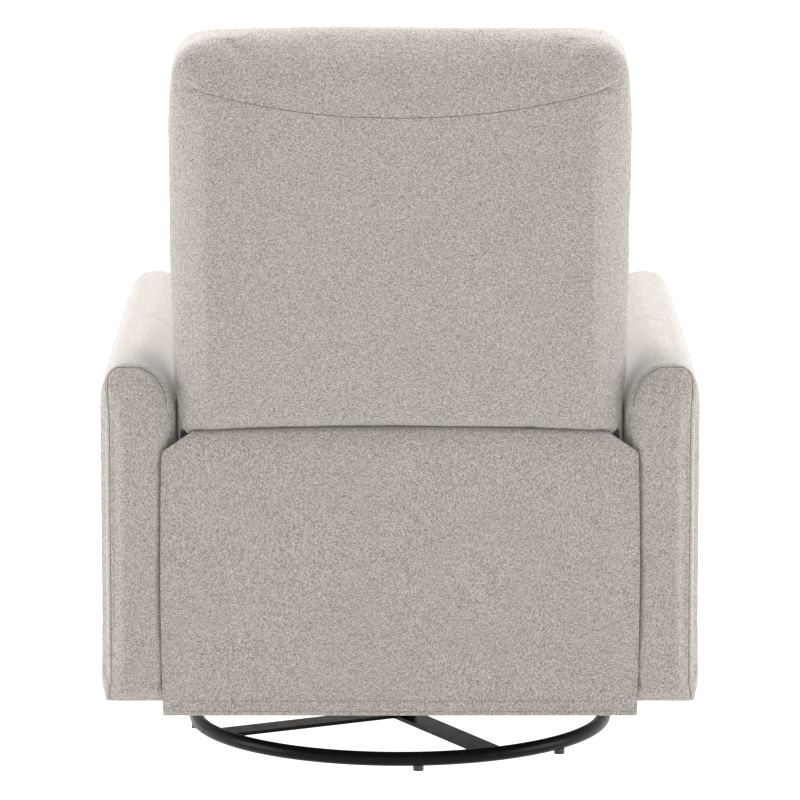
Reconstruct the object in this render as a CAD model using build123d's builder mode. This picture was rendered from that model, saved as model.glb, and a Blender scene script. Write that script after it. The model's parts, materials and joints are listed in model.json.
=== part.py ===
"""Swivel glider recliner for a nursery, in millimetres.

+Z is up, the sitter faces -Y and +X is the sitter's left. The origin is on the
floor, on the swivel axis. A tube ring on the floor carries a ball swivel, the
swivel carries a steel frame with four hangers, and the upholstered seat hangs
on them and glides. The back reclines and a board with two link pairs lifts the
footrest.
"""
from build123d import *
from math import cos, sin, radians
import os

# Ring base
RING_R = 278.0
RING_TUBE_R = 9.5
GLIDE_R = 7.0
GLIDE_H = 6.0
RING_Z = GLIDE_H + RING_TUBE_R
GLIDE_ANGLES = [5 + 45 * step for step in range(7)]
BAR_W = 38.0
BAR_T = 5.0
BAR_ANGLE = 27.5

# Swivel bearing
PEDESTAL_R = 22.0
PEDESTAL_TOP = 60.0
BOLT_R = 7.95
BOLT_HEAD_R = 15.0
BOLT_HEAD_H = 8.0
PEDESTAL_FLOOR = 6.0
RUNNING_GAP = 0.05
PLATE_T = 6.0
PLATE_W = 200.0
PLATE_CORNER_R = 20.0
RACE_R = 75.0
RACE_HALF_W = 9.0
LOWER_PLATE_R = 95.0
BALL_R = 4.0
BALL_COUNT = 16
BALL_GAP = 0.3

# Glide frame on the swivel
TUBE = 25.0
TUBE_WALL = 2.0
RAIL_OUTER_X = 251.0
RAIL_HALF_Y = 200.0
CROSS_Y = 80.0
GLIDE_PLATE_X = (251.0, 256.0)

# Hangers: four links, each on an upper pin and a lower pin
HANGER_Y = 150.0
HANGER_TOP_Z = 245.0
HANGER_LOW_Z = 130.0
HANGER_X = (260.0, 264.0)
HANGER_W = 28.0
PIN_MARGIN_Y = 25.0
PIN_MARGIN_Z = 18.0
PIN_R = 5.0
OPEN_PIVOT_R = 6.0

# Seat mechanism
MECH_X = (266.5, 270.5)
RAIL_X = (270.5, 293.0)
RAIL_Y = (-412.0, 380.0)
RAIL_Z = (200.0, 345.0)
MECH_CORNER_R = 16.0
CROSS_RAILS = [
    ("seat_front_rail", (-362.0, -322.0), (315.0, 345.0)),
    ("seat_spring_rail", (200.0, 222.0), (318.0, 345.0)),
    ("seat_rear_rail", (330.0, 352.0), (200.0, 270.0)),
]

# Sinuous springs
SPRING_WIRE_R = 2.0
SPRING_HALF = 22.0
SPRING_BEND_R = 13.0

# Arms
ARM_X = (293.5, 384.0)
ARM_Y = (-440.0, 390.0)
ARM_Z = (116.0, 566.0)
ARM_CREST_X = 344.0
ARM_INNER_DROP = 60.0
ARM_OUTER_R = 28.0
ARM_PANEL_X = (324.0, 342.0)
ARM_PANEL_Y = (-405.0, 380.0)
ARM_PANEL_Z = (130.0, 480.0)
ARM_BOLT_R = 4.0
BOLT_SPOTS = [(-385.0, 225.0), (-385.0, 300.0), (365.0, 225.0), (365.0, 300.0)]

# Seat cushion
CUSHION_X = 288.0
CUSHION_Y = (-472.0, 225.0)
CUSHION_Z = (350.0, 480.0)
CUSHION_R = 20.0

# Back: a plane on its rear face, leaning back, with its origin at the rear seam
LEAN = 11.0
SEAM_Y = 385.0
SEAM_Z = 478.0
BACK_UP = (0.0, sin(radians(LEAN)), cos(radians(LEAN)))
BACK_FORWARD = (0.0, -cos(radians(LEAN)), sin(radians(LEAN)))
RECLINE_Y = 310.0
RECLINE_Z = 385.0
RECLINE_PIN_R = 7.0
BACK_TOP = 528.0
CUSHION_TOP = 500.0
BACK_HALF = 291.0
BACK_LOW_HALF = 284.0
SEAM_HALF = 268.0
SEAM_DIP = -9.0
SEAM_DIP_H = 8.0
SEAM_CORNER_R = 24.0
SIDE_KNEE = 125.0
CROWN = 8.0
TOP_CORNER_R = 50.0
SHELL_T = 78.0
BACK_T = 170.0
SHELL_EDGE_R = 15.0
STILE_X = (239.5, 261.5)
STILE_TOP = 450.0
BRACKET_X = (261.5, 265.5)
BRACKET_W = 36.0
BRACKET_TOP = 132.0
FRAME_T = 36.0

# Rear flap
FLAP_Y = (390.5, 394.5)
FLAP_HALF = 309.0
FLAP_LOW = 100.0
FLAP_CORNER_Z = 448.0

# Footrest linkage: two equal links that open from LINK_START to a third of it
LINK_L = 165.0
LINK_W = 26.0
LINK_START = 80.0
LINK_RISE = 10.0
LINK_PIN_R = 5.0
FOOT_PIVOT = (-325.0, 295.0)
LINK_1_X = (260.0, 264.0)
LINK_2_X = (253.5, 257.5)
FOOT_BRACKET_X = (247.0, 251.0)
FOOT_PAD_Z = (128.0, 330.0)
FOOT_PAD_HALF = 286.0
FOOT_PAD_T = 57.0
FOOT_BOARD_HALF = 262.0
FOOT_BOARD_T = 18.0
FOOT_BOARD_SETBACK = 18.6
TORQUE_TUBE_R = 9.0
TORQUE_TUBE_UP = 60.0

# Release lever on the sitter's right
LEVER_PIVOT = (-100.0, 361.0)
LEVER_L = 100.0
LEVER_X = (279.0, 283.0)
LEVER_PIN_R = 4.0
LEVER_W = 16.0
LOOP_TOP = 505.0
LOOP_HALF = 14.0
LOOP_T = 1.6

os.makedirs("parts", exist_ok=True)


def save(piece, name):
    """Label a finished piece and write its STEP file."""
    piece.part.label = name
    export_step(piece.part, f"parts/{name}.step")


def save_pair(piece, name):
    """Write the piece at +X as the left one, and its mirror image as the right one."""
    with BuildPart() as mirrored:
        mirror(piece.part, about=Plane.YZ)
    save(piece, f"{name}_left")
    save(mirrored, f"{name}_right")


def across(span):
    """The side-view plane (sketch axes Y and Z) at the start of an X span."""
    return Plane.YZ.offset(span[0])


def length(span):
    return span[1] - span[0]


def middle(span):
    return (span[0] + span[1]) / 2


def back_side(x):
    """A plane across the back at x: sketch X runs up the back, sketch Y runs forward."""
    return Plane(origin=(x, SEAM_Y, SEAM_Z), x_dir=BACK_UP, z_dir=(1, 0, 0))


back_plane = Plane(origin=(0, SEAM_Y, SEAM_Z), x_dir=(1, 0, 0), z_dir=BACK_FORWARD)
pivot_up = (RECLINE_Y - SEAM_Y) * BACK_UP[1] + (RECLINE_Z - SEAM_Z) * BACK_UP[2]
pivot_forward = (RECLINE_Y - SEAM_Y) * BACK_FORWARD[1] + (RECLINE_Z - SEAM_Z) * BACK_FORWARD[2]

first_angle = radians(LINK_RISE - LINK_START)
knee = (
    FOOT_PIVOT[0] - LINK_L * cos(first_angle),
    FOOT_PIVOT[1] + LINK_L * sin(first_angle),
)
reach = 2 * LINK_L * cos(radians(LINK_START))
foot_hinge = (
    FOOT_PIVOT[0] - reach * cos(radians(LINK_RISE)),
    FOOT_PIVOT[1] + reach * sin(radians(LINK_RISE)),
)

# ---------------------------------------------------------------- ring base

with BuildPart() as base_ring:
    with Locations((0, 0, RING_Z)):
        Torus(RING_R, RING_TUBE_R)
save(base_ring, "base_ring")

with BuildPart() as floor_glides:
    spots = [
        (-RING_R * sin(radians(angle)), RING_R * cos(radians(angle)))
        for angle in GLIDE_ANGLES
    ]
    with BuildSketch():
        with Locations(*spots):
            Circle(GLIDE_R)
    extrude(amount=GLIDE_H + 1.5)
    with Locations((0, 0, RING_Z)):
        Torus(RING_R, RING_TUBE_R, mode=Mode.SUBTRACT)
save(floor_glides, "floor_glides")

bar_plane = Plane.XY.offset(RING_Z - BAR_T / 2).rotated((0, 0, BAR_ANGLE))

with BuildPart() as crossbar_long:
    with BuildSketch(bar_plane):
        Rectangle(BAR_W, 2 * (RING_R - RING_TUBE_R / 2))
    extrude(amount=BAR_T)
    with Locations((0, 0, RING_Z)):
        Torus(RING_R, RING_TUBE_R, mode=Mode.SUBTRACT)
save(crossbar_long, "crossbar_long")

for name, sign in (("crossbar_short_left", 1), ("crossbar_short_right", -1)):
    short_length = RING_R - RING_TUBE_R / 2 - BAR_W / 2
    with BuildPart() as crossbar_short:
        with BuildSketch(bar_plane):
            with Locations((sign * (BAR_W / 2 + short_length / 2), 0)):
                Rectangle(short_length, BAR_W)
        extrude(amount=BAR_T)
        with Locations((0, 0, RING_Z)):
            Torus(RING_R, RING_TUBE_R, mode=Mode.SUBTRACT)
    save(crossbar_short, name)

bar_top = RING_Z + BAR_T / 2
bolt_low = bar_top + PEDESTAL_FLOOR

with BuildPart() as pedestal:
    with BuildSketch(Plane.XY.offset(bar_top)):
        Circle(PEDESTAL_R)
    extrude(amount=PEDESTAL_TOP - bar_top)
    with BuildSketch(Plane.XY.offset(bolt_low)):
        Circle(BOLT_R)
    extrude(amount=PEDESTAL_TOP - bolt_low, mode=Mode.SUBTRACT)
save(pedestal, "pedestal")

# ---------------------------------------------------------------- swivel bearing

lower_plate_top = PEDESTAL_TOP + PLATE_T
ball_z = lower_plate_top + BALL_R + BALL_GAP
upper_plate_low = ball_z + BALL_R + BALL_GAP
upper_plate_top = upper_plate_low + PLATE_T

with BuildPart() as swivel_lower_plate:
    with BuildSketch(Plane.XY.offset(PEDESTAL_TOP)):
        Circle(LOWER_PLATE_R)
        Circle(BOLT_R, mode=Mode.SUBTRACT)
    extrude(amount=PLATE_T)
save(swivel_lower_plate, "swivel_lower_plate")

with BuildPart() as ball_race:
    with BuildSketch(Plane.XY.offset(lower_plate_top)):
        Circle(RACE_R + RACE_HALF_W)
        Circle(RACE_R - RACE_HALF_W, mode=Mode.SUBTRACT)
    extrude(amount=BALL_R)
    with Locations((0, 0, ball_z)):
        with PolarLocations(RACE_R, BALL_COUNT):
            Sphere(BALL_R + BALL_GAP / 2, mode=Mode.SUBTRACT)
save(ball_race, "ball_race")

with BuildPart() as swivel_balls:
    with Locations((0, 0, ball_z)):
        with PolarLocations(RACE_R, BALL_COUNT):
            Sphere(BALL_R)
save(swivel_balls, "swivel_balls")

with BuildPart() as king_bolt:
    with BuildSketch(Plane.XY.offset(bolt_low)):
        Circle(BOLT_R)
    extrude(amount=upper_plate_top + BALL_GAP - bolt_low)
    with BuildSketch(Plane.XY.offset(upper_plate_top + BALL_GAP)):
        RegularPolygon(BOLT_HEAD_R, 6)
    extrude(amount=BOLT_HEAD_H)
save(king_bolt, "king_bolt")

with BuildPart() as swivel_upper_plate:
    with BuildSketch(Plane.XY.offset(upper_plate_low)):
        RectangleRounded(PLATE_W, PLATE_W, PLATE_CORNER_R)
        Circle(BOLT_R + RUNNING_GAP, mode=Mode.SUBTRACT)
    extrude(amount=PLATE_T)
save(swivel_upper_plate, "swivel_upper_plate")

# ---------------------------------------------------------------- glide frame

frame_z = upper_plate_top + TUBE / 2

for name, cross_y in (("glide_cross_front", -CROSS_Y), ("glide_cross_rear", CROSS_Y)):
    cross_half = RAIL_OUTER_X - TUBE
    with BuildPart() as glide_cross:
        with BuildSketch(Plane.YZ.offset(-cross_half)):
            with Locations((cross_y, frame_z)):
                Rectangle(TUBE, TUBE)
                Rectangle(TUBE - 2 * TUBE_WALL, TUBE - 2 * TUBE_WALL, mode=Mode.SUBTRACT)
        extrude(amount=2 * cross_half)
    save(glide_cross, name)

with BuildPart() as glide_rail:
    with BuildSketch(Plane.XZ.offset(-RAIL_HALF_Y)):
        with Locations((RAIL_OUTER_X - TUBE / 2, frame_z)):
            Rectangle(TUBE, TUBE)
            Rectangle(TUBE - 2 * TUBE_WALL, TUBE - 2 * TUBE_WALL, mode=Mode.SUBTRACT)
    extrude(amount=2 * RAIL_HALF_Y)
save_pair(glide_rail, "glide_rail")

with BuildPart() as glide_plate:
    with BuildSketch(across(GLIDE_PLATE_X)):
        with BuildLine():
            Polyline(
                (-HANGER_Y - PIN_MARGIN_Y, upper_plate_top),
                (HANGER_Y + PIN_MARGIN_Y, upper_plate_top),
                (HANGER_Y + PIN_MARGIN_Y, HANGER_TOP_Z + PIN_MARGIN_Z),
                (-HANGER_Y - PIN_MARGIN_Y, HANGER_TOP_Z + PIN_MARGIN_Z),
                close=True,
            )
        make_face()
        fillet(vertices().group_by(Axis.Y)[-1], HANGER_W / 2)
    extrude(amount=length(GLIDE_PLATE_X))
    with BuildSketch(across(GLIDE_PLATE_X)):
        with Locations((-HANGER_Y, HANGER_TOP_Z), (HANGER_Y, HANGER_TOP_Z)):
            Circle(PIN_R)
    extrude(amount=MECH_X[0] - 0.5 - GLIDE_PLATE_X[0])
save_pair(glide_plate, "glide_plate")

# ---------------------------------------------------------------- hangers

for name, hanger_y, low_bore in (
    ("front_hanger", -HANGER_Y, PIN_R + RUNNING_GAP),
    ("rear_hanger", HANGER_Y, OPEN_PIVOT_R),
):
    with BuildPart() as hanger:
        with BuildSketch(across(HANGER_X)):
            with Locations((hanger_y, (HANGER_TOP_Z + HANGER_LOW_Z) / 2)):
                SlotCenterToCenter(HANGER_TOP_Z - HANGER_LOW_Z, HANGER_W, rotation=90)
            with Locations((hanger_y, HANGER_TOP_Z)):
                Circle(PIN_R + RUNNING_GAP, mode=Mode.SUBTRACT)
            with Locations((hanger_y, HANGER_LOW_Z)):
                Circle(low_bore, mode=Mode.SUBTRACT)
        extrude(amount=length(HANGER_X))
    save_pair(hanger, name)

# ---------------------------------------------------------------- seat mechanism

with BuildPart() as mech_plate:
    with BuildSketch(across(MECH_X)):
        with BuildLine():
            Polyline(
                (-HANGER_Y - PIN_MARGIN_Y, HANGER_LOW_Z - PIN_MARGIN_Z),
                (HANGER_Y + PIN_MARGIN_Y, HANGER_LOW_Z - PIN_MARGIN_Z),
                (RECLINE_Y + PIN_MARGIN_Y, RECLINE_Z - 95),
                (RECLINE_Y + PIN_MARGIN_Y, RECLINE_Z + PIN_MARGIN_Y),
                (RECLINE_Y - PIN_MARGIN_Y, RECLINE_Z + PIN_MARGIN_Y),
                (RECLINE_Y - 60, FOOT_PIVOT[1] + 17),
                (FOOT_PIVOT[0] - 20, FOOT_PIVOT[1] + 17),
                (FOOT_PIVOT[0] - 20, FOOT_PIVOT[1] - 20),
                close=True,
            )
        make_face()
        fillet(vertices().group_by(Axis.Y)[0], MECH_CORNER_R)
        fillet(vertices().group_by(Axis.Y)[-1], MECH_CORNER_R)
    extrude(amount=length(MECH_X))
    stubs = (
        ((-HANGER_Y, HANGER_LOW_Z), PIN_R, HANGER_X[0] - 2),
        ((HANGER_Y, HANGER_LOW_Z), PIN_R, HANGER_X[0] - 2),
        (FOOT_PIVOT, LINK_PIN_R, LINK_1_X[0] - 1),
        ((RECLINE_Y, RECLINE_Z), RECLINE_PIN_R, BRACKET_X[0] - 2.5),
    )
    for spot, radius, inner_x in stubs:
        with BuildSketch(Plane.YZ.offset(inner_x)):
            with Locations(spot):
                Circle(radius)
        extrude(amount=MECH_X[1] - inner_x)
save_pair(mech_plate, "mech_plate")

for name, tube_spot in (
    ("mech_tube_front", (-230.0, 200.0)),
    ("mech_tube_rear", (230.0, 185.0)),
):
    with BuildPart() as mech_tube:
        with BuildSketch(Plane.YZ.offset(-MECH_X[0])):
            with Locations(tube_spot):
                Circle(TUBE / 2)
                Circle(TUBE / 2 - TUBE_WALL, mode=Mode.SUBTRACT)
        extrude(amount=2 * MECH_X[0])
    save(mech_tube, name)

# ---------------------------------------------------------------- seat frame

with BuildPart() as seat_side_rail:
    with BuildSketch(across(RAIL_X)):
        with Locations((middle(RAIL_Y), middle(RAIL_Z))):
            Rectangle(length(RAIL_Y), length(RAIL_Z))
        with Locations(*BOLT_SPOTS):
            Circle(ARM_BOLT_R, mode=Mode.SUBTRACT)
    extrude(amount=length(RAIL_X))
save_pair(seat_side_rail, "seat_side_rail")

for name, span_y, span_z in CROSS_RAILS:
    with BuildPart() as seat_rail:
        with BuildSketch(Plane.YZ.offset(-RAIL_X[0])):
            with Locations((middle(span_y), middle(span_z))):
                Rectangle(length(span_y), length(span_z))
        extrude(amount=2 * RAIL_X[0])
    save(seat_rail, name)


def zigzag(start, end, offset, half_width, turns):
    """Corner points of a sinuous spring from start to end along sketch Y, centred on offset."""
    step = (end - start) / turns
    points = []
    for turn in range(turns + 1):
        sign = 1 if turn % 2 == 0 else -1
        points.append((offset - sign * half_width, start + turn * step))
        points.append((offset + sign * half_width, start + turn * step))
    return points


with BuildPart() as seat_springs:
    for spring_x in (-180.0, -60.0, 60.0, 180.0):
        with BuildLine(Plane.XY.offset(RAIL_Z[1] + SPRING_WIRE_R + 0.2)) as wire:
            FilletPolyline(*zigzag(-342, 211, spring_x, SPRING_HALF, 19), radius=SPRING_BEND_R)
        with BuildSketch(Plane(origin=wire.line @ 0, z_dir=wire.line % 0)):
            Circle(SPRING_WIRE_R)
        sweep(path=wire.line)
save(seat_springs, "seat_springs")

with BuildPart() as seat_cushion:
    with BuildSketch(Plane.XY.offset(CUSHION_Z[0])):
        with Locations((0, middle(CUSHION_Y))):
            RectangleRounded(2 * CUSHION_X, length(CUSHION_Y), CUSHION_R)
    extrude(amount=length(CUSHION_Z))
    fillet(faces().sort_by(Axis.Z)[-1].edges(), CUSHION_R - 2)
    pocket_x = LEVER_X[0] - 4.0
    with BuildSketch(Plane.XY.offset(CUSHION_Z[0])):
        with Locations((-(pocket_x + CUSHION_X) / 2, LEVER_PIVOT[0] - LEVER_L / 2)):
            Rectangle(CUSHION_X - pocket_x, LEVER_L + 80)
    extrude(amount=length(CUSHION_Z), mode=Mode.SUBTRACT)
save(seat_cushion, "seat_cushion")

# ---------------------------------------------------------------- arms

with BuildPart() as arm_pad:
    with BuildSketch(Plane.XZ.offset(-ARM_Y[1])):
        with BuildLine():
            sides = Polyline(
                (ARM_X[0], ARM_Z[1] - ARM_INNER_DROP),
                (ARM_X[0], ARM_Z[0]),
                (ARM_X[1], ARM_Z[0]),
                (ARM_X[1], ARM_Z[1]),
                (ARM_CREST_X, ARM_Z[1]),
            )
            EllipticalCenterArc(
                (ARM_CREST_X, ARM_Z[1] - ARM_INNER_DROP),
                ARM_CREST_X - ARM_X[0],
                ARM_INNER_DROP,
                start_angle=90,
                arc_size=90,
            )
        make_face()
        fillet(vertices().sort_by_distance(sides.vertices()[3])[0], ARM_OUTER_R)
    extrude(amount=length(ARM_Y))
    with BuildSketch(across(ARM_PANEL_X)):
        with Locations((middle(ARM_PANEL_Y), (ARM_Z[0] + ARM_PANEL_Z[1]) / 2)):
            Rectangle(length(ARM_PANEL_Y), ARM_PANEL_Z[1] - ARM_Z[0])
    extrude(amount=length(ARM_PANEL_X), mode=Mode.SUBTRACT)
    with BuildSketch(across(ARM_X)):
        with Locations(*BOLT_SPOTS):
            Circle(ARM_BOLT_R)
    extrude(amount=ARM_PANEL_X[0] - ARM_X[0], mode=Mode.SUBTRACT)
save_pair(arm_pad, "arm_pad")

bolt_tip = ARM_PANEL_X[1] - 4.0

with BuildPart() as arm_panel:
    with BuildSketch(across(ARM_PANEL_X)):
        with Locations((middle(ARM_PANEL_Y), middle(ARM_PANEL_Z))):
            Rectangle(length(ARM_PANEL_Y), length(ARM_PANEL_Z))
    extrude(amount=length(ARM_PANEL_X))
    with BuildSketch(across(ARM_PANEL_X)):
        with Locations(*BOLT_SPOTS):
            Circle(ARM_BOLT_R)
    extrude(amount=bolt_tip - ARM_PANEL_X[0], mode=Mode.SUBTRACT)
save_pair(arm_panel, "arm_panel")

with BuildPart() as arm_bolts:
    with BuildSketch(across(RAIL_X)):
        with Locations(*BOLT_SPOTS):
            Circle(ARM_BOLT_R)
    extrude(amount=bolt_tip - RAIL_X[0])
    with BuildSketch(across(RAIL_X)):
        with Locations(*BOLT_SPOTS):
            RegularPolygon(2 * ARM_BOLT_R, 6)
    extrude(amount=-ARM_BOLT_R)
save_pair(arm_bolts, "arm_bolts")

# ---------------------------------------------------------------- rear flap

with BuildPart() as rear_flap:
    with BuildSketch(Plane.XZ.offset(-FLAP_Y[1])):
        with BuildLine():
            corners = Polyline(
                (-SEAM_HALF, SEAM_Z + SEAM_DIP),
                (-FLAP_HALF, FLAP_CORNER_Z),
                (-FLAP_HALF, FLAP_LOW),
                (FLAP_HALF, FLAP_LOW),
                (FLAP_HALF, FLAP_CORNER_Z),
                (SEAM_HALF, SEAM_Z + SEAM_DIP),
            )
            ThreePointArc(corners @ 1, (0, SEAM_Z + SEAM_DIP + SEAM_DIP_H), corners @ 0)
        make_face()
    extrude(amount=length(FLAP_Y))
save(rear_flap, "rear_flap")

# ---------------------------------------------------------------- back


def back_outline(inset, top):
    """The back's face: a crowned top, nearly upright sides and a dipped seam."""
    half = BACK_HALF - inset
    low_half = BACK_LOW_HALF - inset
    side_low = SEAM_DIP - inset
    side_top = top - CROWN
    with BuildSketch() as outline:
        with BuildLine():
            seam = ThreePointArc((-low_half, side_low), (0, side_low + SEAM_DIP_H), (low_half, side_low))
            left = Polyline(seam @ 0, (-half, SIDE_KNEE), (-half, side_top))
            right = Polyline(seam @ 1, (half, SIDE_KNEE), (half, side_top))
            ThreePointArc(left @ 1, (0, top), right @ 1)
        make_face()
        fillet(vertices().group_by(Axis.Y)[0], SEAM_CORNER_R)
        fillet(vertices().group_by(Axis.Y)[-1], TOP_CORNER_R)
    return outline.sketch


with BuildPart() as back_shell:
    with BuildSketch(back_plane):
        add(back_outline(0, BACK_TOP))
    extrude(amount=SHELL_T)
    fillet(faces().sort_by(Axis((0, 0, 0), BACK_FORWARD))[0].edges(), SHELL_EDGE_R)
    with BuildSketch(back_plane.offset(20)):
        with Locations((0, STILE_TOP / 2 - 5)):
            Rectangle(2 * (BRACKET_X[1] + 1), STILE_TOP + 14)
    extrude(amount=SHELL_T, mode=Mode.SUBTRACT)
save(back_shell, "back_shell")

with BuildPart() as back_cushion:
    with BuildSketch(back_plane.offset(SHELL_T)):
        add(back_outline(3, CUSHION_TOP))
    extrude(amount=BACK_T - SHELL_T)
    fillet(faces().sort_by(Axis((0, 0, 0), BACK_FORWARD))[-1].edges(), CUSHION_R)
save(back_cushion, "back_cushion")

frame_back = SHELL_T - FRAME_T

with BuildPart() as back_stile:
    with BuildSketch(back_plane.offset(frame_back)):
        with Locations((middle(STILE_X), STILE_TOP / 2)):
            Rectangle(length(STILE_X), STILE_TOP)
    extrude(amount=FRAME_T)
save_pair(back_stile, "back_stile")

for name, low, high in (("back_bottom_rail", 0.0, 60.0), ("back_top_rail", 405.0, STILE_TOP)):
    with BuildPart() as back_rail:
        with BuildSketch(back_plane.offset(frame_back)):
            with Locations((0, (low + high) / 2)):
                Rectangle(2 * STILE_X[0], high - low)
        extrude(amount=FRAME_T)
    save(back_rail, name)

with BuildPart() as back_springs:
    for spring_x in (-150.0, -50.0, 50.0, 150.0):
        with BuildLine(back_plane.offset(SHELL_T - 10)) as wire:
            FilletPolyline(*zigzag(64, 401, spring_x, SPRING_HALF, 11), radius=SPRING_BEND_R)
        with BuildSketch(Plane(origin=wire.line @ 0, z_dir=wire.line % 0)):
            Circle(SPRING_WIRE_R)
        sweep(path=wire.line)
save(back_springs, "back_springs")

with BuildPart() as back_bracket:
    with BuildSketch(back_side(BRACKET_X[0])):
        with Locations(((pivot_up + BRACKET_TOP) / 2, pivot_forward)):
            SlotCenterToCenter(BRACKET_TOP - pivot_up, BRACKET_W)
        with Locations((pivot_up, pivot_forward)):
            Circle(RECLINE_PIN_R + RUNNING_GAP, mode=Mode.SUBTRACT)
    extrude(amount=length(BRACKET_X))
save_pair(back_bracket, "back_bracket")

# ---------------------------------------------------------------- footrest


def link_face(start, end, bored):
    """A link's side view: round ends at two hinge centres, with the bored ones open."""
    with BuildSketch() as face:
        with BuildLine():
            Line(start, end)
        trace(line_width=LINK_W)
        with Locations(start, end):
            Circle(LINK_W / 2)
        with Locations(*bored):
            Circle(LINK_PIN_R + RUNNING_GAP, mode=Mode.SUBTRACT)
    return face.sketch


with BuildPart() as footrest_link:
    with BuildSketch(across(LINK_1_X)):
        add(link_face(FOOT_PIVOT, knee, [FOOT_PIVOT]))
    extrude(amount=length(LINK_1_X))
    with BuildSketch(Plane.YZ.offset(LINK_2_X[0] - 1)):
        with Locations(knee):
            Circle(LINK_PIN_R)
    extrude(amount=LINK_1_X[1] - LINK_2_X[0] + 1)
save_pair(footrest_link, "footrest_link")

torque_spot = (
    FOOT_PIVOT[0] + (knee[0] - FOOT_PIVOT[0]) * TORQUE_TUBE_UP / LINK_L,
    FOOT_PIVOT[1] + (knee[1] - FOOT_PIVOT[1]) * TORQUE_TUBE_UP / LINK_L,
)

with BuildPart() as footrest_tube:
    with BuildSketch(Plane.YZ.offset(-LINK_1_X[0])):
        with Locations(torque_spot):
            Circle(TORQUE_TUBE_R)
            Circle(TORQUE_TUBE_R - TUBE_WALL, mode=Mode.SUBTRACT)
    extrude(amount=2 * LINK_1_X[0])
save(footrest_tube, "footrest_tube")

with BuildPart() as footrest_arm:
    with BuildSketch(across(LINK_2_X)):
        add(link_face(knee, foot_hinge, [knee, foot_hinge]))
    extrude(amount=length(LINK_2_X))
save_pair(footrest_arm, "footrest_arm")

board_back = foot_hinge[0] - FOOT_BOARD_SETBACK
board_front = board_back - FOOT_BOARD_T

with BuildPart() as footrest_bracket:
    with BuildSketch(across(FOOT_BRACKET_X)):
        with Locations(foot_hinge):
            Circle(LINK_W / 2)
        with BuildLine():
            Polyline(
                (foot_hinge[0], foot_hinge[1] + LINK_W / 2),
                (board_back, foot_hinge[1] + LINK_W / 2),
                (board_back, foot_hinge[1] - 90),
                (foot_hinge[0], foot_hinge[1] - LINK_W / 2),
                close=True,
            )
        make_face()
    extrude(amount=length(FOOT_BRACKET_X))
    with BuildSketch(across(FOOT_BRACKET_X)):
        with Locations(foot_hinge):
            Circle(LINK_PIN_R)
    extrude(amount=LINK_2_X[1] + 1 - FOOT_BRACKET_X[0])
save_pair(footrest_bracket, "footrest_bracket")

with BuildPart() as footrest_board:
    with BuildSketch(Plane.XY.offset(FOOT_PAD_Z[0] + 7)):
        with Locations((0, (board_back + board_front) / 2)):
            Rectangle(2 * FOOT_BOARD_HALF, FOOT_BOARD_T)
    extrude(amount=length(FOOT_PAD_Z) - 14)
save(footrest_board, "footrest_board")

with BuildPart() as footrest_pad:
    with BuildSketch(Plane.XZ.offset(-board_front)):
        with Locations((0, middle(FOOT_PAD_Z))):
            RectangleRounded(2 * FOOT_PAD_HALF, length(FOOT_PAD_Z), 14)
    extrude(amount=FOOT_PAD_T)
    fillet(faces().sort_by(Axis.Y)[0].edges(), 13)
save(footrest_pad, "footrest_pad")

# ---------------------------------------------------------------- release lever

with BuildPart() as release_bracket:
    with BuildSketch(Plane.YZ.offset(-LEVER_X[1] - 4)):
        with Locations((LEVER_PIVOT[0], (RAIL_Z[1] + LEVER_PIVOT[1] + 9) / 2)):
            Rectangle(26, LEVER_PIVOT[1] + 9 - RAIL_Z[1])
    extrude(amount=3)
    with BuildSketch(Plane.YZ.offset(-LEVER_X[1] - 4)):
        with Locations(LEVER_PIVOT):
            Circle(LEVER_PIN_R)
    extrude(amount=10)
save(release_bracket, "release_bracket")

lever_end = (LEVER_PIVOT[0] - LEVER_L, LEVER_PIVOT[1] + 6.0)

with BuildPart() as release_lever:
    with BuildSketch(Plane.YZ.offset(-LEVER_X[1])):
        with BuildLine():
            Line(LEVER_PIVOT, lever_end)
        trace(line_width=LEVER_W)
        with Locations(LEVER_PIVOT, lever_end):
            Circle(LEVER_W / 2)
        with Locations(LEVER_PIVOT):
            Circle(LEVER_PIN_R + RUNNING_GAP, mode=Mode.SUBTRACT)
    extrude(amount=length(LEVER_X))
save(release_lever, "release_lever")

with BuildPart() as release_loop:
    with BuildSketch(Plane.YZ.offset(-LEVER_X[0])):
        with BuildLine():
            Polyline(
                (lever_end[0] - LEVER_W / 2, lever_end[1]),
                (lever_end[0] - LOOP_HALF, LOOP_TOP - 22),
                (lever_end[0] - LOOP_HALF, LOOP_TOP),
                (lever_end[0] + LOOP_HALF, LOOP_TOP),
                (lever_end[0] + LOOP_HALF, LOOP_TOP - 22),
                (lever_end[0] + LEVER_W / 2, lever_end[1]),
                close=True,
            )
        make_face()
        fillet(vertices().group_by(Axis.Y)[-1], 10)
        with Locations((lever_end[0], LOOP_TOP - 13)):
            SlotOverall(16, 8, mode=Mode.SUBTRACT)
    extrude(amount=LOOP_T)
save(release_loop, "release_loop")
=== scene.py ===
# %% [markdown]
# # A swivel glider recliner, upholstered in Blender
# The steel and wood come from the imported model, which stays where it is. This file
# adds what an upholsterer adds: padded arms, back, seat and footrest in a heathered
# greige weave, seams and stitching, and a finish for every metal, wood and plastic part.
# Lengths are in metres, +Z is up and the sitter faces -Y.

# %% Tools and the fixed frame
import json
import math

import bmesh
import bpy
from mathutils import Matrix, Vector, kdtree, noise
from mathutils.bvhtree import BVHTree

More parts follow.
